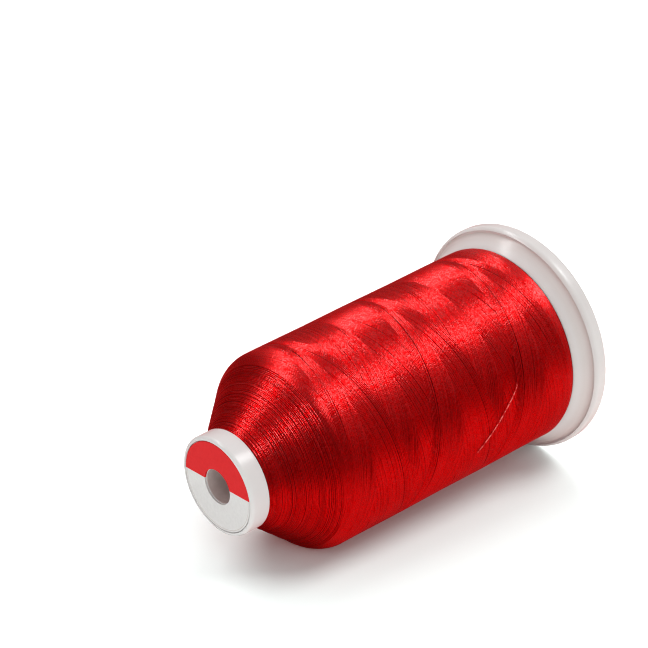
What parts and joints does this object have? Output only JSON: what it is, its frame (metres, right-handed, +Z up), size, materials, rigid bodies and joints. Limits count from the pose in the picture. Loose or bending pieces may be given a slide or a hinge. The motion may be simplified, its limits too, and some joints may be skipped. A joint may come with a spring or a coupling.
{
  "type": "cone of thread",
  "caption": "Cone of sewing thread lying on its side: wound body with a conical nose on a flanged plastic core, a nose cap with a round label and a spindle hole, and a loose thread end.",
  "frame": {"origin": "on the ground under the centre of the cone's bounding box, the loose thread end left out", "axes": "+X along the cone's length towards its flange, +Y across it, +Z up; the axis of the cone lies in the XZ plane and dips 4 degrees towards the cap"},
  "size_m": [0.1254, 0.0726, 0.0724],
  "materials": {
    "core_plastic": "satin white moulded plastic",
    "cap_plastic": "satin white moulded plastic",
    "label": "smooth printed paper, upper half red, lower half off-white",
    "thread": "silky deep red filament thread, shiny across the turns",
    "thread_end": "silky deep red filament thread"
  },
  "bodies": {
    "root": {"spool_core": "core_plastic", "nose_cap": "cap_plastic", "label": "label", "thread_winding": "thread", "thread_end": "thread_end"}
  },
  "joints": []
}
